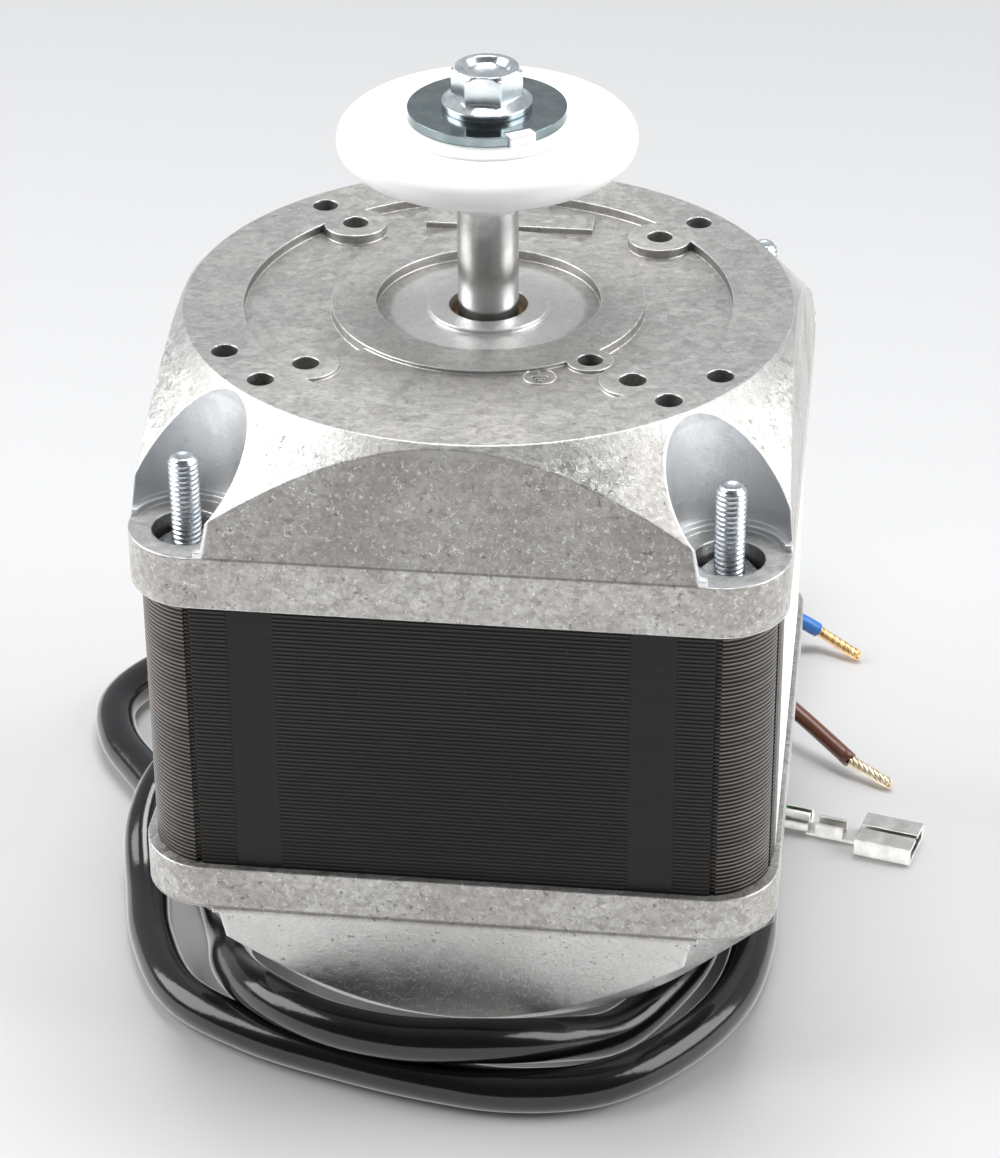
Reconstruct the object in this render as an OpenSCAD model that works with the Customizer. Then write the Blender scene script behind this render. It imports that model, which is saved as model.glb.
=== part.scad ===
// Shaded-pole fan motor with a square stator stack between two cast end shields.
// It stands on its rear boss with the shaft up: origin at the centre of that boss, +Z along
// the shaft, -Y is the front, +X the right. All sizes in mm.

/* [Body] */
// height of the laminated stack, which sets the power of the motor
stack_h = 40; // [30:1:60]
// width over the square skirts of the end shields
frame_w = 84; // [84:1:90]
// diameter of the flat round face of each shield
face_d = 80; // [76:1:82]
// height of the sloping shoulder from skirt to face
shoulder_h = 17.1; // [16:0.1:20]
// height of the boss under the rear shield, on which the motor stands
rear_boss_h = 7.5; // [6:0.5:12]

/* [Shaft and hub] */
// diameter of the shaft
shaft_d = 8; // [6:0.5:9]
// how far the shaft end stands above the front face
shaft_out = 24; // [20:1:40]
// diameter of the plastic hub that carries the fan
hub_d = 38.6; // [34:0.2:46]
// diameter of the clamping washer on the hub
hub_washer_d = 20.4; // [18:0.2:24]

/* [Bolts and cable] */
// how far each bolt end stands above its nut seat
stud_out = 10.4; // [6:0.2:16]
// outside diameter of the cable
cable_d = 6; // [5.6:0.1:6.6]
// diameter of each insulated core
core_d = 2.4; // [2:0.1:2.6]

/* [Output] */
// sub-part to draw

/* [Hidden] */
$fn = 48;

// heights of the shields and of the joints between the main pieces
front_skirt_h = 7.2;
rear_skirt_h = 6.2;
z_face_rear = rear_boss_h;
z_stack_lo = z_face_rear + shoulder_h + rear_skirt_h;
z_stack_hi = z_stack_lo + stack_h;
z_face = z_stack_hi + front_skirt_h + shoulder_h;
z_shaft_end = z_face + shaft_out;

// outline of the skirts and of the stack
half_w = frame_w / 2;
corner_r = 9;
stack_half = half_w - 1.1;
face_r = face_d / 2;
flat_lean = 1.6;
bolt_xy = half_w - 7.7;
pocket_r = 8.2;

// bearings: the same stepped bore in both shields
bush_in_r = shaft_d / 2 + 0.03;
bush_out_r = 7.5;
bush_len = 13;
felt_out_r = 10;
tube_r = 13;
bush_gap = 3.5;
bore_reach = 16.8;

// magnetic circuit
air_gap = 0.4;
rotor_r = 21;
pole_r = rotor_r + air_gap;
pole_w = 16;
coil_in = 26;
coil_out = 31.2;
coil_wall = 5.6;
coil_over = 7.6;

// fasteners
// cable outlet in the back flat of the rear shield
gland_x = -12;
gland_z = z_face_rear + 10;
// plane of the spot face that the grommet's flange sits on
gland_seat = half_w - 1.4;

bolt_d = 4;
// rolled bolt: its shank, and what the nut grips, are at the thread's middle diameter
shank_d = bolt_d - 0.46;
nut_af = 7;
nut_h = 3.2;
nut_floor = 1.9;

function bolt_spots() = [[1, 1], [-1, 1], [-1, -1], [1, -1]] * bolt_xy;

module rounded_square(w, r) {
    k = w / 2 - r;
    union() {
        square([w, 2 * k], center = true);
        square([2 * k, w], center = true);
        for (x = [-k, k], y = [-k, k])
            translate([x, y]) circle(r);
    }
}

module ring(ro, ri, h) {
    rotate_extrude() translate([ri, 0]) square([ro - ri, h]);
}

module at_angles(angles, r) {
    for (a = angles) rotate([0, 0, a]) translate([r, 0, 0]) children();
}

// A shield with the stack joint at z = 0 and its face up: square skirt, cone to the round
// face, four leaning flats, a pocket at each corner and the hollow for the end windings.
module shield_form(skirt_h) {
    h = skirt_h + shoulder_h;
    corner_reach = (half_w - corner_r) * sqrt(2) + corner_r + 0.4;
    difference() {
        intersection() {
            linear_extrude(h) rounded_square(frame_w, corner_r);
            union() {
                cylinder(r = corner_reach + 2, h = skirt_h);
                translate([0, 0, skirt_h]) cylinder(r1 = corner_reach, r2 = face_r, h = shoulder_h);
            }
        }
        // leaning flats
        for (a = [0:90:270])
            rotate([0, 0, a]) translate([0, -half_w, skirt_h])
                rotate([-atan(flat_lean / shoulder_h), 0, 0])
                    translate([-60, -20, 0]) cube([120, 20, 50]);
        // corner pockets with a small ledge at the foot of the wall
        for (a = [0:90:270])
            rotate([0, 0, a]) translate([bolt_xy, bolt_xy, skirt_h]) {
                translate([0, 0, 0.9]) cylinder(r = pocket_r, h = h);
                cylinder(r = pocket_r - 1.1, h = 2);
                translate([-2.2, 0, 0]) cube([14, 14, 2]);
                translate([0, -2.2, 0]) cube([14, 14, 2]);
            }
        // bolt holes
        for (p = bolt_spots())
            translate([p[0], p[1], -1]) cylinder(d = bolt_d + 0.5, h = skirt_h + 2, $fn = 24);
        // hollow for the end windings, around the bearing tube
        rotate_extrude() polygon([[0, -1], [37.5, -1], [37.5, 9.5], [30, h - 4.3],
            [tube_r, h - 4.3], [tube_r, h - bore_reach], [0, h - bore_reach]]);
        // bearing bore: felt and retainer space, then the seat of the bush
        rotate_extrude() polygon([[0, h - bore_reach - 1], [felt_out_r, h - bore_reach - 1],
            [felt_out_r, h - 7], [bush_out_r, h - 7], [bush_out_r, h - bush_gap],
            [0, h - bush_gap]]);
    }
}

// What is sunk in the front face: a ring less the lobes that carry holes and a plain plate.
module face_ring() {
    difference() {
        circle(r = 32);
        circle(r = 20.6);
        for (a = [45:90:315]) rotate(a) translate([29.4, 0]) circle(r = 4.3, $fn = 32);
        rotate(-47) translate([21.9, 0]) circle(r = 3, $fn = 32);
        translate([-11.5, 22.8]) square([23, 4.4]);
    }
}

module front_wedge(half_angle) {
    rotate(-90) polygon([[0, 0], [90 * cos(half_angle), -90 * sin(half_angle)],
        [90 * cos(half_angle), 90 * sin(half_angle)]]);
}

module front_end_shield() {
    h = front_skirt_h + shoulder_h;
    color("silver") translate([0, 0, z_stack_hi]) difference() {
        union() {
            difference() {
                shield_form(front_skirt_h);
                // ring-shaped recess in the face, deep round three sides and shallow in front
                translate([0, 0, h - 1.3]) linear_extrude(3) difference() {
                    face_ring();
                    front_wedge(43.5);
                }
                translate([0, 0, h - 0.5]) linear_extrude(3) intersection() {
                    face_ring();
                    front_wedge(44);
                }
                // top of the plate, a little below the face
                translate([-11.5, 22.8, h - 0.4]) cube([23, 4.4, 3]);
                // dish inside the raised ring
                translate([0, 0, h - 1.4]) cylinder(r = 14.7, h = 3);
            }
            // lip round the shaft opening
            translate([0, 0, h - 2]) cylinder(r = 7.9, h = 1.2);
        }
        // shaft opening
        translate([0, 0, h - bush_gap - 1]) cylinder(r = 5.2, h = bush_gap + 2);
        // blind fixing holes in the rim and in the lobes
        at_angles([45, 135, 225, 315], 36.4) translate([0, 0, h - 8]) cylinder(d = 3.5, h = 9, $fn = 24);
        at_angles([210.4, 329.6], 36.7) translate([0, 0, h - 8]) cylinder(d = 3.5, h = 9, $fn = 24);
        at_angles([45, 135, 225, 315], 29.4) translate([0, 0, h - 3.6]) cylinder(d = 3.5, h = 5, $fn = 24);
        // earthing hole
        at_angles([-47], 21.9) translate([0, 0, h - 6]) cylinder(d = 3.3, h = 8, $fn = 24);
        // nut seats
        for (p = bolt_spots())
            translate([p[0], p[1], nut_floor]) cylinder(r = 4.5, h = front_skirt_h, $fn = 32);
    }
}

module rear_end_shield() {
    h = rear_skirt_h + shoulder_h;
    color("silver") translate([0, 0, z_stack_lo]) mirror([0, 0, 1]) difference() {
        union() {
            shield_form(rear_skirt_h);
            // boss under the bearing, closed at the bottom
            translate([0, 0, h - 3]) cylinder(r1 = 26.5, r2 = 25, h = rear_boss_h + 3);
        }
        // room for the shaft end
        translate([0, 0, h - bush_gap - 1]) cylinder(r = 5.2, h = bush_gap + 3);
        // fixing holes in the rim
        at_angles([45, 135, 225, 315], 36.4) translate([0, 0, h - 8]) cylinder(d = 3.5, h = 9, $fn = 24);
        // cable hole through the back flat, with a spot face for the grommet's flange
        translate([gland_x, half_w - 8, h - 10]) rotate([-90, 0, 0]) {
            cylinder(d = cable_d + 4.2, h = 14, $fn = 32);
            translate([0, 0, gland_seat - half_w + 8]) cylinder(d = cable_d + 7.4, h = 6, $fn = 48);
        }
    }
}

module stator_sheet() {
    window = 31.5;
    difference() {
        rounded_square(2 * stack_half, corner_r);
        // windows for the coils, with the corners kept for the bolts
        difference() {
            square(2 * window, center = true);
            for (a = [45:90:315]) rotate(a) translate([37.6, 0]) square([8, 30], center = true);
            for (a = [0:90:270]) rotate(a) translate([0, -pole_w / 2]) square([40, pole_w]);
            intersection() {
                circle(r = 25.4);
                for (a = [0:90:270]) rotate(a) polygon([[0, 0], [40, -30], [40, 30]]);
            }
        }
        circle(r = pole_r, $fn = 96);
        // slots for the shading rings
        for (a = [0:90:270]) rotate(a) translate([pole_r - 1, 3.2]) square([3.9, 1.8]);
        // bolt holes
        for (p = bolt_spots()) translate(p) circle(d = bolt_d + 0.5, $fn = 24);
        // alignment grooves on the four sides
        for (a = [0:90:270], x = [-33.7, 33.7])
            rotate(a) translate([x - 0.4, -stack_half - 0.2]) square([0.8, 0.8]);
    }
}

module stator_stack() {
    color("dimgray") translate([0, 0, z_stack_lo]) linear_extrude(stack_h) stator_sheet();
}

// Rectangular frame round one pole, seen along the pole: inner width and height, wall, depth.
module pole_frame(x0, depth, w, h, wall) {
    translate([x0, 0, (z_stack_lo + z_stack_hi) / 2]) difference() {
        translate([0, -w / 2 - wall, -h / 2 - wall]) cube([depth, w + 2 * wall, h + 2 * wall]);
        translate([-1, -w / 2, -h / 2]) cube([depth + 2, w, h]);
    }
}

module coil_bobbins() {
    color("ivory") for (a = [0:90:270]) rotate([0, 0, a]) {
        pole_frame(coil_in, coil_out - coil_in, pole_w, stack_h, 0.8);
        pole_frame(coil_in - 0.5, 0.6, pole_w, stack_h, 5.4);
        pole_frame(coil_out - 0.6, 0.6, pole_w, stack_h, coil_wall + 0.6);
    }
}

module stator_coils() {
    color("chocolate") for (a = [0:90:270]) rotate([0, 0, a])
        pole_frame(coil_in + 0.2, coil_out - coil_in - 0.9, pole_w + 1.8, stack_h + 1.8, coil_wall - 1.6);
}

module shading_rings() {
    color("peru") for (a = [0:90:270]) rotate([0, 0, a])
        translate([pole_r + 0.6, 3.4, z_stack_lo - 1.6]) difference() {
            cube([2, 12.2, stack_h + 3.2]);
            translate([-1, 1.4, 1.6]) cube([4, 9.4, stack_h]);
        }
}

module rotor_core() {
    color("slategray") translate([0, 0, z_stack_lo]) linear_extrude(stack_h) difference() {
        circle(r = rotor_r, $fn = 96);
        circle(d = shaft_d);
        for (i = [0:16]) rotate(i * 360 / 17) translate([18.6, 0]) circle(r = 1.5, $fn = 16);
    }
}

module rotor_cage() {
    color("gainsboro") {
        for (z = [z_stack_lo - 4.6, z_stack_hi])
            translate([0, 0, z]) ring(20.4, 12.5, 4.6);
        for (i = [0:16]) rotate([0, 0, i * 360 / 17])
            translate([18.6, 0, z_stack_lo - 1]) cylinder(r = 1.5, h = stack_h + 2, $fn = 16);
    }
}

module rotor_spacers() {
    reach = front_skirt_h + shoulder_h - bush_gap - bush_len - 1;
    reach_rear = rear_skirt_h + shoulder_h - bush_gap - bush_len - 1;
    color("lightgray") {
        translate([0, 0, z_stack_hi]) ring(5.6, shaft_d / 2, reach);
        translate([0, 0, z_stack_lo - reach_rear]) ring(5.6, shaft_d / 2, reach_rear);
    }
}

module thrust_washers() {
    color("tan") {
        translate([0, 0, z_face - bush_gap - bush_len - 1]) ring(7, shaft_d / 2, 0.7);
        translate([0, 0, z_face_rear + bush_gap + bush_len + 0.3]) ring(7, shaft_d / 2, 0.7);
    }
}

module shaft() {
    color("lightsteelblue") difference() {
        translate([0, 0, z_face_rear]) {
            cylinder(d = shaft_d, h = z_shaft_end - z_face_rear - 0.6);
            translate([0, 0, z_shaft_end - z_face_rear - 0.6])
                cylinder(d1 = shaft_d, d2 = shaft_d - 1.2, h = 0.6);
        }
        // flat that drives the hub, and the tapped hole for its screw
        translate([shaft_d / 2 - 0.8, -6, z_shaft_end - 9.6]) cube([6, 12, 12]);
        translate([0, 0, z_shaft_end - 13]) cylinder(d = 4.2, h = 14, $fn = 24);
    }
}

module front_bush() {
    color("darkgoldenrod") translate([0, 0, z_face - bush_gap - bush_len])
        ring(bush_out_r, bush_in_r, bush_len);
}

module rear_bush() {
    color("darkgoldenrod") translate([0, 0, z_face_rear + bush_gap])
        ring(bush_out_r, bush_in_r, bush_len);
}

module felt_rings() {
    color("wheat") {
        translate([0, 0, z_face - 13]) ring(felt_out_r, bush_out_r, 6);
        translate([0, 0, z_face_rear + 7]) ring(felt_out_r, bush_out_r, 6);
    }
}

module bush_retainers() {
    color("lightgray") {
        translate([0, 0, z_face - 16]) ring(felt_out_r, bush_out_r, 1.6);
        translate([0, 0, z_face_rear + 14.4]) ring(felt_out_r, bush_out_r, 1.6);
    }
}

module through_bolts() {
    z_head = z_face_rear + shoulder_h;
    z_tip = z_stack_hi + front_skirt_h + stud_out;
    z_nut_top = z_stack_hi + nut_floor + nut_h;
    color("silver") for (p = bolt_spots()) translate([p[0], p[1], 0]) {
        translate([0, 0, z_head - 2.8]) cylinder(d = nut_af / cos(30), h = 2.8, $fn = 6);
        translate([0, 0, z_head - 0.2]) cylinder(d = shank_d, h = z_nut_top - z_head + 0.2, $fn = 24);
        translate([0, 0, z_nut_top]) cylinder(d = bolt_d, h = z_tip - z_nut_top - 0.5, $fn = 24);
        translate([0, 0, z_tip - 0.5]) cylinder(d1 = bolt_d, d2 = bolt_d - 1, h = 0.5, $fn = 24);
    }
}

module bolt_nuts() {
    color("silver") for (p = bolt_spots()) translate([p[0], p[1], z_stack_hi + nut_floor])
        difference() {
            cylinder(d = nut_af / cos(30), h = nut_h, $fn = 6);
            translate([0, 0, -1]) cylinder(d = shank_d, h = nut_h + 2, $fn = 24);
        }
}

// Disc with a thick rounded edge, a boss on top and a tapering collar down the shaft.
module fan_hub() {
    r = hub_d / 2;
    e = 2.4;
    z = z_shaft_end - 3.4;
    color("white") difference() {
        union() {
            translate([0, 0, z]) rotate_extrude($fn = 72) union() {
                polygon([[0, 5.4], [10.4, 5.4], [10.4, 3.6], [r - e - 1.5, 4.9], [r - e, 4.9],
                    [r - e, 0], [9, 0], [5.4, -3.4], [4.9, -6.6], [0, -6.6]]);
                translate([r - e, e]) intersection() {
                    scale([1, 1.02]) circle(r = e, $fn = 32);
                    translate([0, -5]) square([5, 10]);
                }
            }
            // key that stands in the notch of the washer
            rotate([0, 0, -57]) translate([8.7, -1.8, z + 4]) cube([1.6, 3.6, 2.6]);
        }
        // bore with a flat, closed by a web that the screw clamps on the shaft end
        difference() {
            translate([0, 0, z - 8]) cylinder(d = shaft_d + 0.06, h = z_shaft_end - z + 8);
            translate([shaft_d / 2 - 0.77, -6, z - 6]) cube([6, 12, 12]);
        }
        translate([0, 0, z]) cylinder(d = 5.4, h = 10);
    }
}

module hub_washer() {
    color("silver") translate([0, 0, z_shaft_end + 2]) difference() {
        cylinder(d = hub_washer_d, h = 1.3, $fn = 64);
        translate([0, 0, -1]) cylinder(d = 5.4, h = 4, $fn = 32);
        rotate([0, 0, -57]) translate([8.6, -1.9, -1]) cube([4, 3.8, 4]);
    }
}

module hub_screw() {
    color("silver") translate([0, 0, z_shaft_end + 3.3]) difference() {
        union() {
            cylinder(d = 11.6, h = 0.9);
            translate([0, 0, 0.9]) cylinder(d1 = 11, d2 = 8.6, h = 0.7);
            cylinder(d = 8 / cos(30), h = 4.9, $fn = 6);
            intersection() {
                cylinder(d = 8 / cos(30), h = 5.4, $fn = 6);
                cylinder(r1 = 7.2, r2 = 4.05, h = 5.4);
            }
            translate([0, 0, -13.4]) cylinder(d = 4.2, h = 14, $fn = 24);
        }
        // cupped top
        translate([0, 0, 4.6]) cylinder(r1 = 2.6, r2 = 3.5, h = 1);
    }
}

module side_label() {
    color("whitesmoke") translate([stack_half, -30, z_stack_lo + 0.8]) cube([0.4, 60, stack_h - 1.6]);
}

// Strain relief: a grommet in the hole of the rear shield with a tapering tail.
module cable_gland() {
    r = cable_d / 2;
    color("black") translate([gland_x, gland_seat - 3.4, gland_z]) rotate([-90, 0, 0]) rotate_extrude()
        polygon([[r, 0], [r + 2, 0], [r + 2, 3.4], [r + 3.4, 3.4], [r + 3.4, 6.6], [r + 1.9, 8.2],
            [r + 0.7, 28], [r, 28]]);
}

// Route of the cable: out of the gland, down behind the motor, once and a half round the
// base, over its own first turn at the left, and back behind the motor to the bared end.
cable_route = [[-12, 38, 17.5], [-12, 53, 17.5], [-12, 68, 17.5], [-8, 82, 16], [4, 91, 13],
    [19, 91, 9.5], [31, 82, 5.5], [35.5, 69, 3.4], [36, 54, 3], [34.5, 39, 3], [34, 26, 3],
    [35.5, 12, 3], [37.8, 0, 3], [38.3, -13, 3], [36, -26, 3], [29.5, -37.5, 3], [20.2, -46, 3],
    [8.5, -48.8, 3], [-3.2, -47.6, 3], [-15.4, -44.6, 3], [-27.6, -40.4, 3], [-39, -33.2, 3],
    [-45.4, -21.5, 3], [-48.5, -10, 3.8], [-50.5, 1, 7.4], [-48.5, 12, 9.8], [-42, 22.5, 7],
    [-31, 31, 3.4], [-17, 34, 3], [-2, 34.5, 3], [12, 31, 3], [23, 23, 3], [29, 11, 3],
    [30.8, -2, 3], [30.5, -15, 3], [27, -25, 3], [21, -35.2, 3.4], [13.3, -42.7, 7.1],
    [3.7, -47.2, 9.5], [-6.5, -47.8, 9.5], [-17, -45.4, 9.5], [-26.4, -39.4, 9.1], [-32.2, -30, 6],
    [-35, -19.5, 3.2], [-38.5, -9.5, 3], [-42.5, 0, 3], [-48, 10, 3], [-54.5, 19, 3],
    [-60.5, 28, 3], [-62.8, 38, 3], [-58.5, 47.5, 3], [-50, 53.5, 3], [-40, 57, 3], [-28, 58.5, 3],
    [-12, 58.8, 3], [4, 58.5, 3]];
core_blue_route = [[4, 59.8, 2.4], [14, 61.5, 3.8], [24, 64.5, 6.5], [33, 67.8, 8.2], [38.5, 70, 6.4],
    [43.5, 71, 3.2]];
core_brown_route = [[4, 58.5, 4.5], [14, 57, 5.4], [25, 53, 7.4], [34, 48.5, 8], [41, 43, 6],
    [50, 35.5, 2.4]];
core_earth_route = [[4, 57.2, 2.4], [12, 53, 4.2], [21, 45, 6.8], [29, 36, 8], [36, 27, 6.6],
    [41, 20.4, 2]];
blue_tip = [50.4, 67.2, 1];
brown_tip = [56.4, 31.6, 1];

function unit(v) = v / norm(v);
// points of a smooth curve through the route, with n steps between two route points
function smooth(p, n) = [for (i = [0:len(p) - 2], k = [0:n - 1])
    let (a = p[max(i - 1, 0)], b = p[i], c = p[i + 1], d = p[min(i + 2, len(p) - 1)], t = k / n)
    0.5 * ((2 * b) + (c - a) * t + (2 * a - 5 * b + 4 * c - d) * t * t
        + (3 * b - a - 3 * c + d) * t * t * t), p[len(p) - 1]];
function ring_at(c, dir, r, n) =
    let (u = unit(cross([0, 0, 1], dir)), v = unit(cross(dir, u)))
    [for (k = [0:n - 1]) c + r * (u * cos(360 * k / n) + v * sin(360 * k / n))];

// Round tube along a list of points, as one closed polyhedron.
module sweep(points, r, n) {
    m = len(points);
    rings = [for (i = [0:m - 1])
        ring_at(points[i], unit(points[min(i + 1, m - 1)] - points[max(i - 1, 0)]), r, n)];
    sides = [for (i = [0:m - 2], k = [0:n - 1])
        [i * n + k, i * n + (k + 1) % n, (i + 1) * n + (k + 1) % n, (i + 1) * n + k]];
    polyhedron([for (q = rings) each q],
        concat([[for (k = [n - 1:-1:0]) k]], sides, [[for (k = [0:n - 1]) (m - 1) * n + k]]),
        convexity = 8);
}

module cable() {
    color("black") sweep(smooth(cable_route, 1), cable_d / 2, 12);
}

module core_blue() {
    color("royalblue") sweep(smooth(core_blue_route, 1), core_d / 2, 8);
}

module core_brown() {
    color("saddlebrown") sweep(smooth(core_brown_route, 1), core_d / 2, 8);
}

module core_earth() {
    color("yellowgreen") sweep(smooth(core_earth_route, 1), core_d / 2, 8);
}

module bare_end(from, to) {
    d = to - from;
    translate(from) rotate([0, acos(d[2] / norm(d)), atan2(d[1], d[0])])
        cylinder(d = 1.7, h = norm(d), $fn = 20);
}

module blue_core_end() {
    color("gold") bare_end(core_blue_route[len(core_blue_route) - 1], blue_tip);
}

module brown_core_end() {
    color("gold") bare_end(core_brown_route[len(core_brown_route) - 1], brown_tip);
}

// Flat receptacle crimped on the earth core: barrel, neck and rolled sleeve for a blade.
module earth_terminal() {
    color("gainsboro") translate(core_earth_route[len(core_earth_route) - 1])
        rotate([0, 0, -14]) {
            translate([-0.2, 0, 0]) rotate([0, 90, 0]) difference() {
                cylinder(r = core_d / 2 + 0.5, h = 4.2, $fn = 20);
                translate([0, 0, -1]) cylinder(r = core_d / 2 + 0.04, h = 3, $fn = 20);
                translate([-4, -0.4, -1]) cube([4, 0.8, 7]);
            }
            translate([3.6, -1.3, -1.7]) cube([8.4, 2.6, 0.5]);
            translate([5, -1.3, -1.7]) difference() {
                cube([4.2, 2.6, 2.2]);
                translate([-1, 0.5, 0.5]) cube([8, 1.6, 3]);
            }
            translate([11.6, -3.7, -1.7]) difference() {
                cube([8.4, 7.4, 2.6]);
                translate([-1, 0.5, 0.5]) cube([11, 6.4, 1.5]);
                translate([-1, 3.3, 1.5]) cube([11, 0.8, 3]);
            }
        }
}

front_end_shield();
rear_end_shield();
stator_stack();
coil_bobbins();
stator_coils();
shading_rings();
rotor_core();
rotor_cage();
rotor_spacers();
thrust_washers();
shaft();
front_bush();
rear_bush();
felt_rings();
bush_retainers();
through_bolts();
bolt_nuts();
fan_hub();
hub_washer();
hub_screw();
side_label();
cable_gland();
cable();
core_blue();
core_brown();
core_earth();
blue_core_end();
brown_core_end();
earth_terminal();
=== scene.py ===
# %% [markdown]
# # A small fan motor, dressed for its picture
# The motor is a square stack of black sheets between two cast shields, with a plastic hub on
# its shaft and a cable laid round its foot. The solids come packed from the CAD and stay as they
# are. This lesson gives them their finishes, and adds what a solid model leaves out: screw
# threads, a round smooth cable, twisted copper, and the light of a plain studio.

import math

import bmesh
import bpy
import numpy as np
from mathutils import Matrix, Vector


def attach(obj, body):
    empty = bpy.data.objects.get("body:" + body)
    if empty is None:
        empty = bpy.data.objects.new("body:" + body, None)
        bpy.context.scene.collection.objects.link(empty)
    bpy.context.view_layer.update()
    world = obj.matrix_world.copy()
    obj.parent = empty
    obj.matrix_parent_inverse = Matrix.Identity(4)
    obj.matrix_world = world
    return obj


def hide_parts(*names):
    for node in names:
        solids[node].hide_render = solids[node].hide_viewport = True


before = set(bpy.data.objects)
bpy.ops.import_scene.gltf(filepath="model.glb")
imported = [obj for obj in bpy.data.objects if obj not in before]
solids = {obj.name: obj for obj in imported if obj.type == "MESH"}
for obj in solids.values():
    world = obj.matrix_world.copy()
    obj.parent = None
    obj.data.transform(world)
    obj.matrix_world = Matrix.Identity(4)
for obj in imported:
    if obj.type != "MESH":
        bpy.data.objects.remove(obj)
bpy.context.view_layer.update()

# %% [markdown]
# ## The camera
# A camera is a place, a direction and a lens. Its place here was worked out by matching points
# of the photograph to points of the solids. It could be aimed with a Track To
# constraint, but a matrix of three directions also carries the slight roll of the picture.

# %% Place the camera
AZIMUTH, ELEVATION, ROLL = (math.radians(v) for v in (6.997, 31.001, -0.337))
DISTANCE, ASIDE, ABOVE = 0.526338, 0.00103, 0.044709
FOCAL_PIXELS, LONG_SIDE_PIXELS, SENSOR = 3645.811, 1158, 36

back = Vector((math.sin(AZIMUTH) * math.cos(ELEVATION),
               -math.cos(AZIMUTH) * math.cos(ELEVATION), math.sin(ELEVATION)))
level = Vector((0, 0, 1)).cross(back).normalized()
upright = back.cross(level)
right = math.cos(ROLL) * level + math.sin(ROLL) * upright
up = math.cos(ROLL) * upright - math.sin(ROLL) * level

camera = bpy.data.objects.new("camera", bpy.data.cameras.new("camera"))
bpy.context.scene.collection.objects.link(camera)
turn = Matrix((right, up, back)).transposed().to_4x4()
camera.matrix_world = Matrix.Translation(right * ASIDE + up * ABOVE + back * DISTANCE) @ turn
camera.data.sensor_width = SENSOR
camera.data.lens = FOCAL_PIXELS * SENSOR / LONG_SIDE_PIXELS
camera.data.clip_start, camera.data.clip_end = 0.01, 20
bpy.context.scene.camera = camera
bpy.context.scene.view_settings.view_transform = "Standard"
print("camera at", [round(v, 3) for v in camera.location], "lens", round(camera.data.lens, 1))

# %% [markdown]
# ## Tubes along a route
# The cable, its cores and the copper strands are all one thing: a circle carried along a line.
# A curve object with a bevel would do, but a mesh lets the two colours of the earth core be laid
# on by face. The circle is carried from ring to ring by the smallest turn, so that the tube never
# twists on itself.

# %% Helpers for tubes
MM = 0.001


def smooth_route(points, steps):
    """Points of a smooth curve through the route, with steps between two route points."""
    p = [np.array(v, float) * MM for v in points]
    out = []
    for i in range(len(p) - 1):
        a, b, c, d = p[max(i - 1, 0)], p[i], p[i + 1], p[min(i + 2, len(p) - 1)]
        for t in np.arange(steps) / steps:
            out.append(0.5 * (2 * b + (c - a) * t + (2 * a - 5 * b + 4 * c - d) * t ** 2
                              + (3 * b - a - 3 * c + d) * t ** 3))
    return np.array(out + [p[-1]])


def route_length(points):
    return float(np.linalg.norm(np.diff(points, axis=0), axis=1).sum())


def sweep_tube(mesh, points, radii, sides, stripe=None):
    """Adds a closed round tube to a bmesh; stripe(ring, side) gives the material of a face."""
    points = np.asarray(points, float)
    along = np.gradient(points, axis=0)
    along /= np.linalg.norm(along, axis=1)[:, None]
    side = np.cross(along[0], (0, 0, 1))
    if np.linalg.norm(side) < 1e-6:
        side = np.array((1.0, 0, 0))
    rings = []
    for point, ahead, radius in zip(points, along, np.broadcast_to(radii, len(points))):
        side = side - ahead * (side @ ahead)
        side /= np.linalg.norm(side)
        other = np.cross(ahead, side)
        angles = [2 * math.pi * k / sides for k in range(sides)]
        rings.append([mesh.verts.new(point + radius * (side * math.cos(q) + other * math.sin(q)))
                      for q in angles])
    for i, (low, high) in enumerate(zip(rings, rings[1:])):
        for k in range(sides):
            n = (k + 1) % sides
            face = mesh.faces.new((low[k], high[k], high[n], low[n]))
            face.smooth = True
            face.material_index = stripe(i, k) if stripe else 0
    mesh.faces.new(rings[0])
    mesh.faces.new(rings[-1][::-1])


def piece_from(mesh, name, body):
    """Turns a bmesh into an object that rides on a body of the motor."""
    bmesh.ops.recalc_face_normals(mesh, faces=mesh.faces)
    data = bpy.data.meshes.new(name)
    mesh.to_mesh(data)
    mesh.free()
    obj = bpy.data.objects.new(name, data)
    bpy.context.scene.collection.objects.link(obj)
    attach(obj, body)
    print(name, len(data.polygons), "faces")
    return obj


# %% [markdown]
# ## The cable
# The cable leaves its grommet at the back, drops to the table and runs one and a half times
# round the foot. It could be simulated as a hanging rope, but its lay is known from the picture,
# so the same route points as in the CAD are used, drawn with more and rounder rings.

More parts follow.
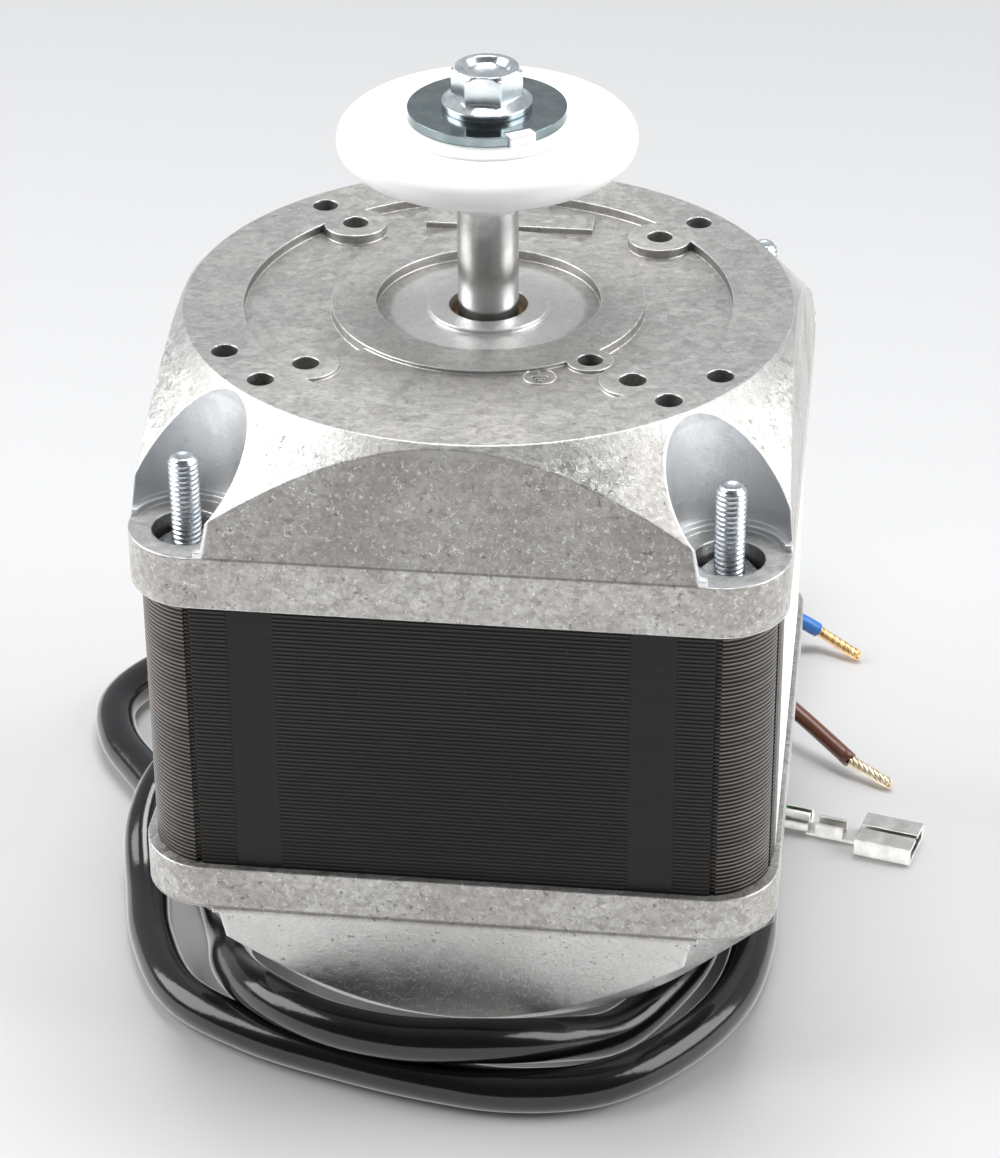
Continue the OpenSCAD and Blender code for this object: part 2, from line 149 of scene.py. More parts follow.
# %% The cable and the three cores
CABLE_ROUTE = [
    (-12, 38, 17.5), (-12, 53, 17.5), (-12, 68, 17.5), (-8, 82, 16), (4, 91, 13), (19, 91, 9.5),
    (31, 82, 5.5), (35.5, 69, 3.4), (36, 54, 3), (34.5, 39, 3), (34, 26, 3), (35.5, 12, 3),
    (37.8, 0, 3), (38.3, -13, 3), (36, -26, 3), (29.5, -37.5, 3), (20.2, -46, 3),
    (8.5, -48.8, 3), (-3.2, -47.6, 3), (-15.4, -44.6, 3), (-27.6, -40.4, 3), (-39, -33.2, 3),
    (-45.4, -21.5, 3), (-48.5, -10, 3.8), (-50.5, 1, 7.4), (-48.5, 12, 9.8), (-42, 22.5, 7),
    (-31, 31, 3.4), (-17, 34, 3), (-2, 34.5, 3), (12, 31, 3), (23, 23, 3), (29, 11, 3),
    (30.8, -2, 3), (30.5, -15, 3), (27, -25, 3), (21, -35.2, 3.4), (13.3, -42.7, 7.1),
    (3.7, -47.2, 9.5), (-6.5, -47.8, 9.5), (-17, -45.4, 9.5), (-26.4, -39.4, 9.1),
    (-32.2, -30, 6), (-35, -19.5, 3.2), (-38.5, -9.5, 3), (-42.5, 0, 3), (-48, 10, 3),
    (-54.5, 19, 3), (-60.5, 28, 3), (-62.8, 38, 3), (-58.5, 47.5, 3), (-50, 53.5, 3),
    (-40, 57, 3), (-28, 58.5, 3), (-12, 58.8, 3), (4, 58.5, 3)]
CORE_ROUTES = {
    "core_blue": [(4, 59.8, 2.4), (14, 61.5, 3.8), (24, 64.5, 6.5), (33, 67.8, 8.2),
                  (38.5, 70, 6.4), (43.5, 71, 3.2)],
    "core_brown": [(4, 58.5, 4.5), (14, 57, 5.4), (25, 53, 7.4), (34, 48.5, 8), (41, 43, 6),
                   (50, 35.5, 2.4)],
    "core_earth": [(4, 57.2, 2.4), (12, 53, 4.2), (21, 45, 6.8), (29, 36, 8), (36, 27, 6.6),
                   (41, 20.4, 2)]}
CABLE_R, CORE_R = 3 * MM, 1.2 * MM

cable_line = smooth_route(CABLE_ROUTE, 6)
cable_line[:, 2] = np.maximum(cable_line[:, 2], CABLE_R)
mesh = bmesh.new()
sweep_tube(mesh, cable_line, CABLE_R, 28)
cable = piece_from(mesh, "cable_sheath", "housing")
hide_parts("cable")

cores, core_lines = {}, {}
for name, route in CORE_ROUTES.items():
    line = core_lines[name] = smooth_route(route, 6)
    two_tone = (lambda i, k: int((k + i // 9) % 16 < 6)) if name == "core_earth" else None
    mesh = bmesh.new()
    sweep_tube(mesh, line, CORE_R, 16, two_tone)
    cores[name] = piece_from(mesh, name + "_skin", "housing")
    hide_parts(name)
print("cable", round(route_length(cable_line), 3), "m")

# %% [markdown]
# The bared end of a core is a rope of fine copper wires. A plain rod would do from far away, but
# the twist is what makes it read as stranded wire, so six wires are wound round a seventh.

# %% Bare copper ends
TIPS = {"core_blue": ((43.5, 71, 3.2), (50.4, 67.2, 1), "blue_core_end"),
        "core_brown": ((50, 35.5, 2.4), (56.4, 31.6, 1), "brown_core_end")}
WIRE_R, TURNS = 0.29 * MM, 1.3


def stranded(mesh, start, end):
    start, end = (np.array(v, float) * MM for v in (start, end))
    axis = (end - start) / np.linalg.norm(end - start)
    one = np.cross(axis, (0, 0, 1))
    one /= np.linalg.norm(one)
    two = np.cross(axis, one)
    for wire in range(7):
        reach = 0 if wire == 6 else 1.96 * WIRE_R
        line = []
        for s in np.linspace(0, 1 - 0.03 * (wire % 3), 22):
            q = 2 * math.pi * (TURNS * s + wire / 6)
            spread = reach * (1 + 0.12 * s * (wire % 2))
            line.append(start + axis * s * np.linalg.norm(end - start)
                        + spread * (one * math.cos(q) + two * math.sin(q)))
        sweep_tube(mesh, line, WIRE_R, 8)


bare_ends = {}
for name, (start, end, node) in TIPS.items():
    mesh = bmesh.new()
    stranded(mesh, start, end)
    bare_ends[name] = piece_from(mesh, node + "_wires", "housing")
    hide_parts(node)
bare_ends["core_earth"] = solids["earth_terminal"]
for name, core in cores.items():
    line = core_lines[name]

# %% [markdown]
# ## The through bolts
# Four long bolts hold the motor together, and their threaded ends stand out of the corner
# pockets. The solid is a smooth rod. A Screw modifier could wind a thread, but a grid of rings
# whose radius follows the height minus the turn gives a true helix, with a chamfered and
# slightly hollow tip as on a rolled bolt.

# %% Bolts with rolled threads
BOLT_AT, BOLT_R, PITCH, THREAD_DEPTH = 34.3, 2.0, 0.7, 0.36
THREAD_FROM, TIP_Z, HEAD_Z = 68.0, 88.4, 24.6
ROUND, RINGS_PER_TURN = 28, 8


def rod_radius(z, turn):
    """Radius of the rod in mm at a height, and at a turn from 0 to 1 round it."""
    if z < THREAD_FROM:
        return BOLT_R - 0.02
    phase = (z / PITCH - turn) % 1
    groove = min(max((abs(2 * phase - 1) - 0.12) / 0.76, 0), 1)
    radius = BOLT_R - THREAD_DEPTH * groove
    return min(radius, BOLT_R - 0.05 - 0.9 * max(z - (TIP_Z - 0.7), 0))


def add_bolt(mesh, x, y):
    step = PITCH / RINGS_PER_TURN
    heights = [HEAD_Z - 0.2, THREAD_FROM - 0.01] + list(np.arange(THREAD_FROM, TIP_Z, step))
    rings = [[((x + rod_radius(z, k / ROUND) * math.cos(2 * math.pi * k / ROUND)) * MM,
               (y + rod_radius(z, k / ROUND) * math.sin(2 * math.pi * k / ROUND)) * MM, z * MM)
              for k in range(ROUND)] for z in heights]
    for radius, z in ((1.15, TIP_Z + 0.02), (0.85, TIP_Z - 0.1), (0.4, TIP_Z - 0.22)):
        rings.append([((x + radius * math.cos(2 * math.pi * k / ROUND)) * MM,
                       (y + radius * math.sin(2 * math.pi * k / ROUND)) * MM, z * MM)
                      for k in range(ROUND)])
    rings = [[mesh.verts.new(v) for v in ring] for ring in rings]
    for low, high in zip(rings, rings[1:]):
        for k in range(ROUND):
            n = (k + 1) % ROUND
            mesh.faces.new((low[k], low[n], high[n], high[k])).smooth = True
    mesh.faces.new(rings[-1])
    mesh.faces.new(rings[0][::-1])
    # hexagonal head with its corners turned off
    flats, previous = [], None
    for radius, z in ((3.5, HEAD_Z - 2.8), (4.04, HEAD_Z - 2.5), (4.04, HEAD_Z - 0.1), (3.9, HEAD_Z)):
        ring = [mesh.verts.new(((x + radius * math.cos(math.pi * k / 3)) * MM,
                                (y + radius * math.sin(math.pi * k / 3)) * MM, z * MM))
                for k in range(6)]
        if previous:
            for k in range(6):
                mesh.faces.new((previous[k], previous[(k + 1) % 6], ring[(k + 1) % 6], ring[k]))
        else:
            mesh.faces.new(ring[::-1])
        previous = ring
    mesh.faces.new(previous)


mesh = bmesh.new()
for x in (-BOLT_AT, BOLT_AT):
    for y in (-BOLT_AT, BOLT_AT):
        add_bolt(mesh, x, y)
bolts = piece_from(mesh, "threaded_bolts", "housing")
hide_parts("through_bolts")

# %% [markdown]
# ## The earth mark
# The casting carries the usual earth sign beside its earthing hole, a stem and three bars in a
# ring. It could be painted with a mask, but it is raised metal, so it is a thin piece of its own
# that stands 0.25 mm out of the recess.

# %% Raised earth sign
MARK_AT, MARK_TURN, MARK_Z = (9.0, -20.4), math.radians(10), 94.58
MARK_RING_R, MARK_WIRE_R, MARK_STANDS = 2.05, 0.17, 0.25
MARK_BARS = ((0, 0.75, 0.34, 1.3), (0, 0, 2.2, 0.34), (0, -0.62, 1.45, 0.32), (0, -1.2, 0.7, 0.3))


def add_bar(mesh, cx, cy, wide, deep, z, tall):
    c, s = math.cos(MARK_TURN), math.sin(MARK_TURN)
    corners = [(cx - wide / 2, cy - deep / 2), (cx + wide / 2, cy - deep / 2),
               (cx + wide / 2, cy + deep / 2), (cx - wide / 2, cy + deep / 2)]
    place = [(MARK_AT[0] + u * c - v * s, MARK_AT[1] + u * s + v * c) for u, v in corners]
    low = [mesh.verts.new((u * MM, v * MM, z * MM)) for u, v in place]
    middle = [MARK_AT[0] + cx * c - cy * s, MARK_AT[1] + cx * s + cy * c]
    high = [mesh.verts.new(((u * 0.86 + middle[0] * 0.14) * MM, (v * 0.86 + middle[1] * 0.14) * MM,
                            (z + tall) * MM)) for u, v in place]
    mesh.faces.new(high)
    for k in range(4):
        mesh.faces.new((low[k], low[(k + 1) % 4], high[(k + 1) % 4], high[k]))


mesh = bmesh.new()
for cx, cy, wide, deep in MARK_BARS:
    add_bar(mesh, cx, cy, wide, deep, MARK_Z, MARK_STANDS)
ring_line = [((MARK_AT[0] + MARK_RING_R * math.cos(q)) * MM,
              (MARK_AT[1] + MARK_RING_R * math.sin(q)) * MM, (MARK_Z + 0.06) * MM)
             for q in np.linspace(0, 2 * math.pi, 49)]
sweep_tube(mesh, ring_line, MARK_WIRE_R * MM, 8)
mark = piece_from(mesh, "earth_mark", "housing")

# %% [markdown]
# ## Shader maths as sums
# A finish is a small network of nodes. To keep it readable, a socket is wrapped in a class that
# knows plus, minus, times and powers, so that a mask is written as a sum. One method makes any
# node, with its settings first and its sockets after.

# %% A wrapped socket and a finish
class Signal:
    def __init__(self, finish, socket):
        self.finish, self.socket = finish, socket

    def _math(self, operation, a, b):
        return self.finish.make("ShaderNodeMath", {"operation": operation}, {0: a, 1: b})

    def __add__(self, other):
        return self._math("ADD", self, other)

    def __sub__(self, other):
        return self._math("SUBTRACT", self, other)

    def __rsub__(self, other):
        return self._math("SUBTRACT", other, self)

    def __mul__(self, other):
        return self._math("MULTIPLY", self, other)

    def __pow__(self, other):
        return self._math("POWER", self, other)

    __radd__, __rmul__ = __add__, __mul__

    def sine(self):
        return self._math("SINE", self, 0)

    def size(self):
        return self._math("ABSOLUTE", self, 0)

    def step(self, low, high):
        """0 below low, 1 above high, and smooth between them."""
        return self.finish.make("ShaderNodeMapRange", {"interpolation_type": "SMOOTHSTEP"},
                                {"Value": self, "From Min": low, "From Max": high})


class Finish:
    def __init__(self, name):
        self.material = bpy.data.materials.new(name)
        self.material.use_nodes = True
        self.nodes = self.material.node_tree.nodes
        self.skin = self.nodes["Principled BSDF"]
        self.place = self.make("ShaderNodeTexCoord", out="Object")

    def make(self, kind, settings=None, sockets=None, out=0):
        node = self.nodes.new(kind)
        for key, value in (settings or {}).items():
            setattr(node, key, value)
        self.fill(node, sockets or {})
        return Signal(self, node.outputs[out])

    def fill(self, node, sockets):
        for key, value in sockets.items():
            if isinstance(value, Signal):
                self.material.node_tree.links.new(value.socket, node.inputs[key])
            elif node.inputs[key].type == "RGBA" and len(value) == 3:
                node.inputs[key].default_value = (*value, 1)
            else:
                node.inputs[key].default_value = value

    def set(self, **sockets):
        self.fill(self.skin, {k.replace("_", " "): v for k, v in sockets.items()})
        return self

    def axis(self, name):
        return self.make("ShaderNodeSeparateXYZ", sockets={"Vector": self.place}, out=name)

    def stretched(self, scale):
        return self.make("ShaderNodeMapping", sockets={"Vector": self.place, "Scale": scale})

    def noise(self, size_mm, detail=3.0, rough=0.55, stretch=(1, 1, 1)):
        return self.make("ShaderNodeTexNoise", sockets={
            "Vector": self.stretched(stretch), "Scale": 1000 / size_mm, "Detail": detail,
            "Roughness": rough}, out="Fac")

    def flakes(self, size_mm, stretch=(1, 1, 1)):
        return self.make("ShaderNodeTexVoronoi", sockets={
            "Vector": self.stretched(stretch), "Scale": 1000 / size_mm}, out="Color")

    def mix(self, mask, a, b):
        return self.make("ShaderNodeMix", {"data_type": "RGBA"}, {0: mask, 6: a, 7: b}, out=2)

    def grey(self, colour):
        return self.make("ShaderNodeRGBToBW", sockets={"Color": colour})

    def bump(self, height, depth_mm, strength=1.0, normal=None):
        sockets = {"Height": height, "Distance": depth_mm * MM, "Strength": strength}
        if normal:
            sockets["Normal"] = normal
        return self.make("ShaderNodeBump", sockets=sockets)

    def soft_edges(self, radius_mm):
        return self.make("ShaderNodeBevel", {"samples": 6}, {"Radius": radius_mm * MM})

    def worn_edge(self, soft):
        """1 where the softened direction leaves the true one, which is along the edges."""
        true = self.make("ShaderNodeNewGeometry", out="True Normal")
        near = self.make("ShaderNodeVectorMath", {"operation": "DOT_PRODUCT"},
                         {0: soft, 1: true}, out="Value")
        return (1 - near).step(0.01, 0.12)

# %% [markdown]
# ## Cast aluminium
# The shields are pressure die-cast and then tumbled, which leaves a bright skin of small flakes,
# faint stains and burnished edges. One noise would look like stone. Flat cells of two sizes give
# the flakes, each with its own grey, a slow noise gives the stains, and the edges are found by
# comparing the true surface direction with a softened one. How far a face leans tells the flats
# from the cone between them: the flats are darkened with painted shade, the cone is lightened with
# a painted highlight.

# %% The casting finish
SKIRT_TOP_Z, REAR_SKIRT_Z = 0.0781, 0.0246


def cast_aluminium():
    f = Finish("cast_aluminium")
    x, y, z = f.axis("X"), f.axis("Y"), f.axis("Z")
    soft = f.soft_edges(0.35)
    edge = f.worn_edge(soft)
    # where the casting is smoother: the flat face, and the walls of the corner pockets
    face = z.step(0.0928, 0.0936)
    from_bolt = (x.size() - BOLT_AT * MM) ** 2 + (y.size() - BOLT_AT * MM) ** 2
    pocket = (1 - from_bolt.step(6.9e-5, 7.2e-5)) * z.step(0.0778, 0.0782)
    rough_skin = 1 - face * 0.62 - pocket * 0.75
    coarse = f.grey(f.flakes(1.3, (1, 1.4, 1.2)))
    fine = f.grey(f.flakes(0.5))
    speck = f.noise(0.8, 5, 0.7)
    curl = 1 - (f.noise(1.3, 2.5, 0.6) - 0.5).size().step(0.004, 0.035)
    curl = curl * f.noise(0.7, 2, 0.5, (1.3, 1, 0.9)).step(0.5, 0.58) * rough_skin
    tilt = f.make("ShaderNodeSeparateXYZ", sockets={
        "Vector": f.make("ShaderNodeTexCoord", out="Normal")}, out="Z").size()
    flat_painted_shade = tilt.step(0.03, 0.07) * (1 - tilt.step(0.2, 0.3)) * (1 - pocket)
    upright_painted_shade = 1 - tilt.step(0.02, 0.05)
    cone_painted_highlight = tilt.step(0.3, 0.4) * (1 - tilt.step(0.86, 0.93)) * (1 - pocket)
    stain = f.noise(13, 4, 0.6).step(0.42, 0.66)
    scuff = f.noise(2.2, 6, 0.75, (0.3, 1, 1)).step(0.54, 0.7)
    pit = f.noise(0.9, 3, 0.6).step(0.64, 0.72) * rough_skin
    crease_painted_shade = 1 - (z - SKIRT_TOP_Z).size().step(0.00008, 0.0003)
    foot_painted_shade = 1 - (z - REAR_SKIRT_Z).size().step(0.0001, 0.0004)
    shade = (coarse * 0.36 + fine * 0.28 - 0.32) * rough_skin + speck * 0.5 + scuff * 0.1 + 0.16
    metal = f.mix(shade, (0.16, 0.151, 0.137), (0.82, 0.815, 0.80))
    metal = f.mix(stain * 0.35 * rough_skin, metal, (0.31, 0.28, 0.245))
    metal = f.mix(pocket * 0.7, metal, (0.83, 0.85, 0.87))
    # painted shade: the flats and upright walls are darkened
    metal = f.mix(flat_painted_shade * 0.48 + upright_painted_shade * (1 - pocket) * 0.26, metal, (0.15, 0.141, 0.128))
    # painted light: the underside of the rear shield is paler and less metallic, standing in for light
    # from the table
    underside_painted_light = 1 - z.step(0.0235, 0.0245)
    # painted highlight on the cone, painted light on the underside of the rear shield
    metal = f.mix(cone_painted_highlight * 0.08 + underside_painted_light * 0.42, metal, (0.97, 0.965, 0.955))
    # painted shade: the left and right of the flat face are darker
    metal = f.mix(face * x.size().step(0.016, 0.036) * 0.4, metal, (0.30, 0.30, 0.30))
    dish = face * (1 - (x * x + y * y).step(1.5e-4, 1.75e-4))
    metal = f.mix(dish * 0.4, metal, (0.93, 0.93, 0.93))
    metal = f.mix(curl * 0.42, metal, (0.80, 0.79, 0.76))
    metal = f.mix(pit * 0.6, metal, (0.11, 0.10, 0.09))
    # painted shade: thin dark lines along the creases at the front and rear skirts
    metal = f.mix((crease_painted_shade + foot_painted_shade) * (1 - pocket) * 0.55, metal, (0.07, 0.065, 0.06))
    metal = f.mix(edge * 0.75, metal, (0.9, 0.9, 0.89))
    relief = (coarse * 0.7 + fine * 0.5) * rough_skin + speck * 1.1 + curl * 0.5 - pit * 0.8
    return f.set(Base_Color=metal, Metallic=0.88 - underside_painted_light * 0.2,
                 Roughness=0.34 + coarse * 0.14 + stain * 0.1 - edge * 0.12 - curl * 0.08,
                 Normal=f.bump(relief, 0.07, 0.85, soft))


# %% [markdown]
# ## The black stack
# The stack is some sixty thin sheets, dipped in black lacquer. Modelling each sheet would cost
# triangles for lines a fifth of a millimetre wide, so their edges are a height in the shader that
# repeats with Z. The sheet edges are also painted paler as a painted glint, and brown at the
# rounded corners as a painted glint too. Two plain bands on each side, where the sheets are
# welded, show no lines.

# %% The lacquered sheets
SHEET_PITCH = 0.6


def lacquered_sheets():
    f = Finish("lacquered_sheets")
    x, y, z = f.axis("X"), f.axis("Y"), f.axis("Z")
    across = f.make("ShaderNodeMath", {"operation": "MINIMUM"}, {0: x.size(), 1: y.size()})
    band = across.step(0.0224, 0.0229) * (1 - across.step(0.0283, 0.0288))
    corner_painted_glint = across.step(0.0330, 0.0345)
    wobble = f.noise(9, 2, 0.5, (1, 1, 0.05)) * 0.5
    line = ((z * (2 * math.pi * 1000 / SHEET_PITCH) + wobble).sine() * 0.5 + 0.5) * (1 - band)
    uneven = f.noise(1.2, 3, 0.6, (0.08, 0.08, 1))
    dust = f.noise(0.5, 2, 0.6).step(0.72, 0.78)
    # painted glint: the sheet edges are painted paler along the lines
    black = f.mix(line ** 3 * (0.45 + uneven * 0.7), (0.0015, 0.0015, 0.0015), (0.062, 0.058, 0.054))
    black = f.mix(band * 0.6, black, (0.0095, 0.0097, 0.0102))
    # painted glint: brown at the rounded corners, with more metal and less roughness
    black = f.mix(corner_painted_glint * line ** 2 * uneven, black, (0.36, 0.30, 0.26))
    black = f.mix(dust * 0.35, black, (0.2, 0.2, 0.2))
    return f.set(Base_Color=black, Roughness=0.42 + uneven * 0.14 - corner_painted_glint * 0.1,
                 Metallic=corner_painted_glint * 0.4, Specular_IOR_Level=0.24,
                 Normal=f.bump(line * 0.8 + uneven * 0.25, 0.16, 0.9, f.soft_edges(0.15)))


# %% [markdown]
# ## Small metals
# The bolts and nuts are zinc plated, which is bluish and a little cloudy; the washer is darker,
# blue-grey and smooth; the shaft is ground, so its fine lines run round it. They share one
# recipe with a colour, a roughness and a direction of grain.

# %% Plated and ground metals
def plated(name, pale, dark, rough, grain=(1, 1, 1), depth=0.012, edge_radius=0.2):
    f = Finish(name)
    soft = f.soft_edges(edge_radius)
    cloud = f.noise(2.6, 4, 0.6)
    line = f.noise(0.35, 3, 0.6, grain)
    mark = f.noise(1.1, 5, 0.75, (1, 0.3, 1)).step(0.6, 0.75)
    colour = f.mix(cloud.step(0.35, 0.7), dark, pale)
    colour = f.mix(mark * 0.25, colour, tuple(0.6 * v for v in dark))
    return f.set(Base_Color=colour, Metallic=1.0, Roughness=rough + cloud * 0.1 + mark * 0.08,
                 Normal=f.bump(line + cloud * 0.4, depth, 0.6, soft))


def plain_plastic(name, pale, dark, rough, size_mm, depth, edge_radius=0.4, light_through=0.0):
    f = Finish(name)
    cloud = f.noise(size_mm * 12, 3, 0.55)
    fine = f.noise(size_mm, 4, 0.65)
    colour = f.mix(cloud.step(0.3, 0.7) * 0.7 + fine * 0.3, dark, pale)
    f.set(Base_Color=colour, Roughness=rough + fine * 0.12 + cloud * 0.05,
          Normal=f.bump(fine, depth, 0.6, f.soft_edges(edge_radius)))
    if light_through:
        f.set(Subsurface_Weight=light_through, Subsurface_Scale=2.0 * MM)
    return f


def sheath(name, pale, dark, rough=0.27):
    """Extruded soft plastic: fine lines and small dents along it, with a smooth gloss."""
    f = Finish(name)
    dent = f.noise(7, 3, 0.5)
    skin = f.noise(0.8, 4, 0.6)
    scuff = f.noise(3, 5, 0.7).step(0.62, 0.72)
    colour = f.mix(skin * 0.5 + scuff * 0.4, dark, pale)
    return f.set(Base_Color=colour, Roughness=rough + skin * 0.08 + scuff * 0.12,
                 Specular_IOR_Level=0.5, Normal=f.bump(dent * 1.0 + skin * 0.1, 0.2, 0.5))


# %% [markdown]
# ## Winding, felt and fibre
# Inside the shields there are enamelled coils, felt and fibre rings. Hardly any of them show, but
# a reader may take the motor apart, so each has its own grain: turns of wire on the coils, and
# tangled threads in the felt.

# %% Finishes of the inner pieces
def winding():
    f = Finish("winding")
    turn = (f.axis("Z") * (2 * math.pi * 1000 / 0.45)).sine() * 0.5 + 0.5
    cloud = f.noise(3, 3, 0.6)
    colour = f.mix(turn * 0.6 + cloud * 0.4, (0.25, 0.07, 0.03), (0.72, 0.32, 0.14))
    return f.set(Base_Color=colour, Metallic=0.8, Roughness=0.25 + cloud * 0.15, Coat_Weight=0.3,
                 Normal=f.bump(turn, 0.12, 0.8))


def fibrous(name, pale, dark, size_mm):
    f = Finish(name)
    thread = f.noise(size_mm, 6, 0.8, (1, 0.3, 2))
    return f.set(Base_Color=f.mix(thread.step(0.3, 0.7), dark, pale), Roughness=0.8 + thread * 0.15,
                 Normal=f.bump(thread, 0.15, 0.8))


# %% Which solid gets which finish
aluminium = cast_aluminium()
zinc = plated("zinc_plate", (0.70, 0.73, 0.755), (0.48, 0.52, 0.56), 0.22)
tinned = plated("tinned_brass", (0.8, 0.79, 0.76), (0.6, 0.59, 0.56), 0.24)
FINISH_OF = {
    "front_end_shield": aluminium, "rear_end_shield": aluminium,
    "stator_stack": lacquered_sheets(), "coil_bobbins": plain_plastic(
        "bobbin_nylon", (0.75, 0.73, 0.68), (0.6, 0.58, 0.52), 0.4, 0.3, 0.02),
    "stator_coils": winding(),
    "shading_rings": plated("copper_ring", (0.83, 0.42, 0.26), (0.6, 0.28, 0.17), 0.3),
    "rotor_core": plated("rotor_sheet", (0.36, 0.34, 0.32), (0.2, 0.19, 0.18), 0.42,
                         (0.1, 0.1, 1), 0.03),
    "rotor_cage": plated("cage_casting", (0.75, 0.75, 0.74), (0.5, 0.5, 0.49), 0.42),
    "rotor_spacers": zinc,
    "thrust_washers": fibrous("pressed_fibre", (0.5, 0.3, 0.16), (0.32, 0.17, 0.08), 0.5),
    "shaft": plated("ground_shaft", (0.74, 0.74, 0.74), (0.6, 0.6, 0.6), 0.17, (0.05, 0.05, 1), 0.006),
    "front_bush": plated("sintered_bronze", (0.62, 0.42, 0.2), (0.4, 0.25, 0.11), 0.45, depth=0.05),
    "rear_bush": plated("sintered_bronze_rear", (0.62, 0.42, 0.2), (0.4, 0.25, 0.11), 0.45, depth=0.05),
    "felt_rings": fibrous("oiled_felt", (0.62, 0.55, 0.4), (0.36, 0.3, 0.2), 0.6),
    "bush_retainers": zinc, "through_bolts": zinc, "bolt_nuts": zinc,
    "fan_hub": plain_plastic("white_nylon", (0.96, 0.96, 0.965), (0.91, 0.91, 0.91), 0.33,
                             0.35, 0.012, 0.8, 0.15),
    "hub_washer": plated("bright_washer", (0.235, 0.275, 0.28), (0.17, 0.215, 0.225), 0.06, depth=0.004),
    "hub_screw": plated("screw_zinc", (0.72, 0.75, 0.76), (0.52, 0.56, 0.59), 0.16, depth=0.006,
                        edge_radius=0.35),
    "side_label": plain_plastic("label_foil", (0.86, 0.86, 0.85), (0.78, 0.78, 0.77), 0.36,
                                0.5, 0.008, 0.1),
    "cable_gland": plain_plastic("black_rubber", (0.035, 0.035, 0.035), (0.015, 0.015, 0.015),
                                 0.5, 0.4, 0.03),
    "earth_terminal": tinned}
for name, finish in FINISH_OF.items():
    skins = solids[name].data.materials
    skins.clear()
    skins.append(finish.material)

black_pvc = sheath("black_sheath", (0.009, 0.009, 0.01), (0.004, 0.004, 0.0045), 0.1)
blue_pvc = sheath("blue_insulation", (0.03, 0.22, 0.62), (0.015, 0.13, 0.45), 0.3)
brown_pvc = sheath("brown_insulation", (0.17, 0.055, 0.03), (0.09, 0.028, 0.016), 0.3)
green_pvc = sheath("green_insulation", (0.05, 0.36, 0.08), (0.03, 0.24, 0.05), 0.3)
yellow_pvc = sheath("yellow_stripe", (0.78, 0.66, 0.05), (0.62, 0.5, 0.03), 0.3)
copper = plated("bare_copper", (0.86, 0.60, 0.30), (0.62, 0.38, 0.18), 0.28, depth=0.01)
pale_copper = plated("pale_copper", (0.87, 0.78, 0.60), (0.66, 0.52, 0.36), 0.28, depth=0.01)
for piece, finishes in ((cable, [black_pvc]), (cores["core_blue"], [blue_pvc]),
                        (cores["core_brown"], [brown_pvc]),
                        (cores["core_earth"], [green_pvc, yellow_pvc]), (bolts, [zinc]),
                        (mark, [aluminium]), (bare_ends["core_blue"], [copper]),
                        (bare_ends["core_brown"], [pale_copper])):
    for finish in finishes:
        piece.data.materials.append(finish.material)
print(len(FINISH_OF), "solids dressed")

# %% [markdown]
# ## Table and light
# The motor stands on a pale table in plain soft light. The table could be a curved backdrop, but
# one large disc is enough, with a far part painted a little greyer as painted shade. Two wide lamps
# at the sides and one above light the motor. The room that the metal mirrors is darker in front,
# which draws its edges. Under these lamps a paler table would clip to white, so its own colour is a
# middle grey, and Light Path makes it brighter for mirrored rays, and for camera rays far away.

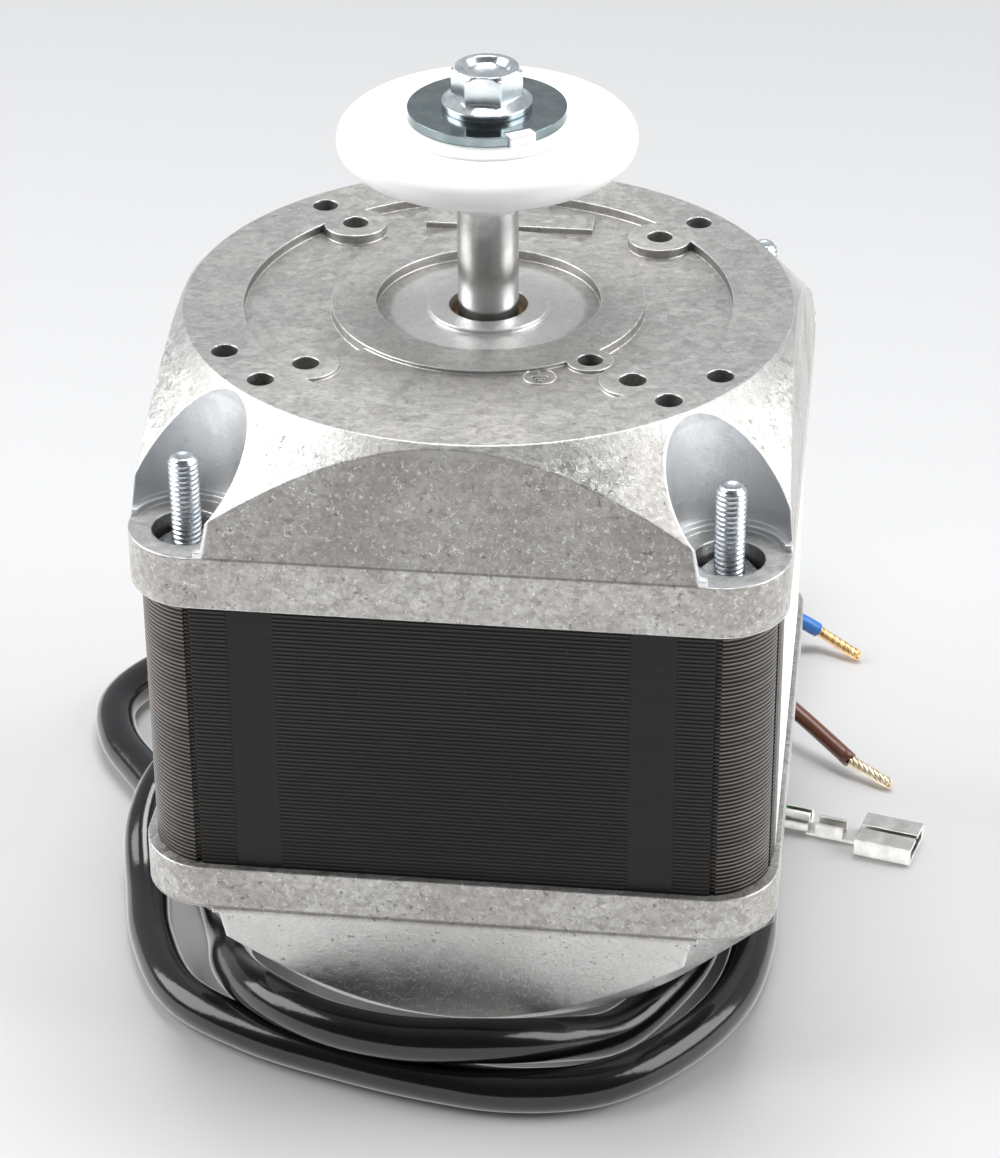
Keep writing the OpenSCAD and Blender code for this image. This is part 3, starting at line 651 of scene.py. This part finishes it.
# %% Floor, lamps and world
def pale_table():
    f = Finish("pale_table")
    x, y = f.axis("X"), f.axis("Y")
    far_painted_shade = y.step(-0.1, 0.5)
    away = (x * x + y * y).step(0.3, 3.0)
    # painted shade: the far part of the table is a darker grey
    tone = f.mix(far_painted_shade, (0.545, 0.545, 0.547), (0.405, 0.407, 0.412))
    tone = f.mix(f.noise(60, 2, 0.5) * 0.04, tone, (0.4, 0.4, 0.4))
    seen = f.make("ShaderNodeLightPath", out="Is Camera Ray")
    mirrored = f.make("ShaderNodeLightPath", out="Is Glossy Ray")
    glow = f.mix(seen, (0.0, 0.0, 0.0), f.mix(away, (0.01, 0.01, 0.01), (0.7, 0.7, 0.7)))
    glow = f.mix(mirrored, glow, (0.72, 0.72, 0.72))
    return f.set(Base_Color=tone, Roughness=0.42, Normal=f.bump(f.noise(1.5, 2, 0.5), 0.02, 0.2),
                 Emission_Color=glow, Emission_Strength=1.0)


mesh = bmesh.new()
bmesh.ops.create_circle(mesh, cap_ends=True, segments=64, radius=4)
data = bpy.data.meshes.new("table")
mesh.to_mesh(data)
mesh.free()
table = bpy.data.objects.new("table", data)
table.data.materials.append(pale_table().material)
bpy.context.scene.collection.objects.link(table)


def soft_lamp(name, place, aim, wide, tall, watts):
    lamp = bpy.data.lights.new(name, "AREA")
    lamp.shape, lamp.size, lamp.size_y, lamp.energy = "RECTANGLE", wide, tall, watts
    obj = bpy.data.objects.new(name, lamp)
    bpy.context.scene.collection.objects.link(obj)
    obj.location = place
    obj.rotation_mode = "QUATERNION"
    obj.rotation_quaternion = (Vector(aim) - Vector(place)).to_track_quat("-Z", "Y")


soft_lamp("lamp_left", (-0.9, -0.05, 0.65), (0, 0, 0.06), 0.8, 0.8, 11.5)
soft_lamp("lamp_right", (0.95, 0.0, 0.6), (0, 0, 0.06), 0.8, 0.8, 10.5)
soft_lamp("lamp_above", (0.0, 0.3, 1.2), (0, 0, 0.05), 0.6, 0.4, 10)

world = bpy.context.scene.world or bpy.data.worlds.new("room")
bpy.context.scene.world = world
world.use_nodes = True
room = world.node_tree.nodes
sky = room["Background"]
towards = room.new("ShaderNodeSeparateXYZ")
front_to_back = room.new("ShaderNodeMapRange")
shade = room.new("ShaderNodeMix")
shade.data_type = "RGBA"
for key, value in (("From Min", -0.7), ("From Max", 0.5)):
    front_to_back.inputs[key].default_value = value
shade.inputs[6].default_value = (0.10, 0.10, 0.105, 1)
shade.inputs[7].default_value = (0.64, 0.655, 0.67, 1)
for start, end in ((room.new("ShaderNodeTexCoord").outputs["Generated"], towards.inputs[0]),
                   (towards.outputs["Y"], front_to_back.inputs["Value"]),
                   (front_to_back.outputs[0], shade.inputs[0]),
                   (shade.outputs[2], sky.inputs["Color"])):
    world.node_tree.links.new(start, end)
